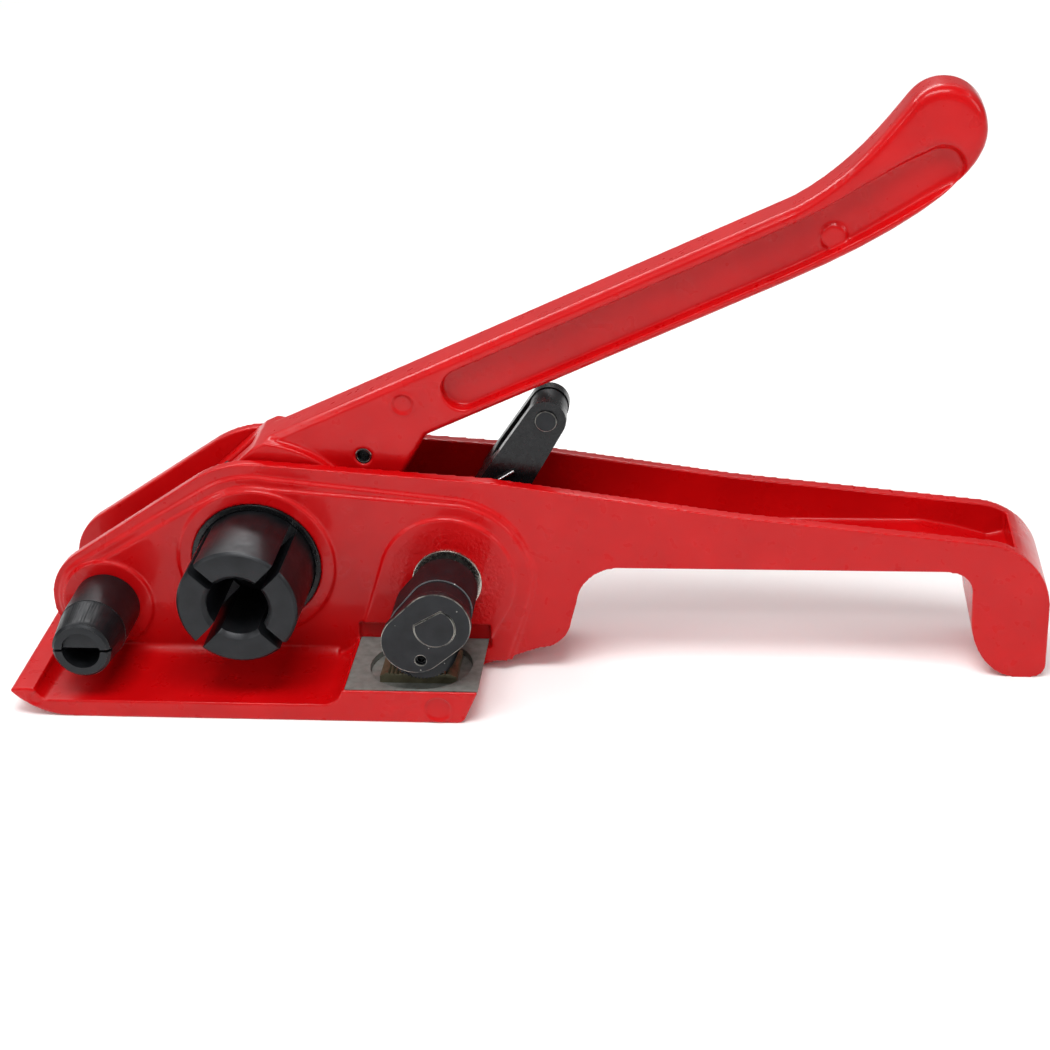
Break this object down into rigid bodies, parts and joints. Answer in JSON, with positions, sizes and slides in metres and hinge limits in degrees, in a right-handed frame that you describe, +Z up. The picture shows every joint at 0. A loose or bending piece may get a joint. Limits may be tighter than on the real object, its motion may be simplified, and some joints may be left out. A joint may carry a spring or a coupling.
{
  "type": "strapping tensioner tool",
  "caption": "Windlass hand tensioner for strapping: slotted windlass on a ratchet handle, sprung gripper cam over a serrated jaw, in a cast frame with channel grip and hook.",
  "frame": {"origin": "on the underside, below the windlass axis, in the plane of the near cheek's outer face", "axes": "+X from the nose to the hook, +Y away from the user, +Z up; the windlass points along -Y"},
  "size_m": [0.3627, 0.0867, 0.2094],
  "materials": {
    "red_enamel": "die-cast aluminium in thick glossy red enamel",
    "black_oxide": "black-oxide machined steel, oiled",
    "ground_shaft": "dark ground steel",
    "black_bush": "dark sintered steel",
    "bright_steel": "turned bright steel",
    "spring_wire": "drawn spring wire",
    "plate_steel": "cold-rolled plate with a milled well",
    "jaw_steel": "hardened tool steel, olive-brown"
  },
  "bodies": {
    "frame": {"frame_casting": "red_enamel", "gripper_base_plate": "plate_steel", "jaw_insert": "jaw_steel", "jaw_screws": "black_oxide", "windlass_bushing_near": "black_bush", "windlass_bushing_far": "black_bush", "gripper_bushing_near": "bright_steel", "gripper_bushing_far": "bright_steel", "guide_shaft": "ground_shaft", "guide_nut": "black_oxide", "guide_washer": "bright_steel", "holding_pawl_pin": "bright_steel", "holding_pawl_spring": "spring_wire", "gripper_spring": "spring_wire"},
    "windlass": {"windlass": "black_oxide", "ratchet_wheel": "black_oxide", "wheel_key": "bright_steel", "windlass_retaining_ring": "bright_steel"},
    "handle": {"handle_casting": "red_enamel", "handle_pawl_pin": "bright_steel", "handle_pawl_spring": "spring_wire"},
    "handle_pawl": {"handle_pawl": "black_oxide"},
    "holding_pawl": {"holding_pawl": "black_oxide"},
    "gripper": {"gripper_shaft": "ground_shaft", "gripper_cam": "black_oxide", "cam_end_plate": "black_oxide", "cam_roll_pin": "black_oxide", "gripper_retaining_ring": "bright_steel", "release_lever": "black_oxide", "lever_clamp_screw": "black_oxide", "lever_roller_pin": "ground_shaft"},
    "lever_roller": {"lever_roller": "black_oxide"},
    "guide_sleeve": {"guide_sleeve": "black_oxide"}
  },
  "joints": [
    {"name": "windlass_spin", "type": "hinge", "parent": "frame", "child": "windlass", "pos_m": [0, 0.0185, 0.043], "axis": [0, -1, 0], "continuous": true},
    {"name": "handle_swing", "type": "hinge", "parent": "frame", "child": "handle", "pos_m": [0, 0.0185, 0.043], "axis": [0, -1, 0], "range_deg": [0, 90]},
    {"name": "handle_pawl_swing", "type": "hinge", "parent": "handle", "child": "handle_pawl", "pos_m": [0.03921, 0.0185, 0.07978], "axis": [0, -1, 0], "range_deg": [0, 6], "stiffness_Nm_per_rad": 0.06, "springref_deg": -20.05},
    {"name": "holding_pawl_swing", "type": "hinge", "parent": "frame", "child": "holding_pawl", "pos_m": [0.02899, 0.0185, 0.01699], "axis": [0, 1, 0], "range_deg": [0, 9], "stiffness_Nm_per_rad": 0.06, "springref_deg": -20.05},
    {"name": "gripper_open", "type": "hinge", "parent": "frame", "child": "gripper", "pos_m": [0.0683, 0.0185, 0.037], "axis": [0, 1, 0], "range_deg": [0, 14], "stiffness_Nm_per_rad": 0.6, "springref_deg": -28.65},
    {"name": "lever_roller_spin", "type": "hinge", "parent": "gripper", "child": "lever_roller", "pos_m": [0.1041, 0.0185, 0.09363], "axis": [0, 1, 0], "continuous": true},
    {"name": "guide_sleeve_spin", "type": "hinge", "parent": "frame", "child": "guide_sleeve", "pos_m": [-0.0565, 0.0185, 0.026], "axis": [0, -1, 0], "continuous": true}
  ]
}
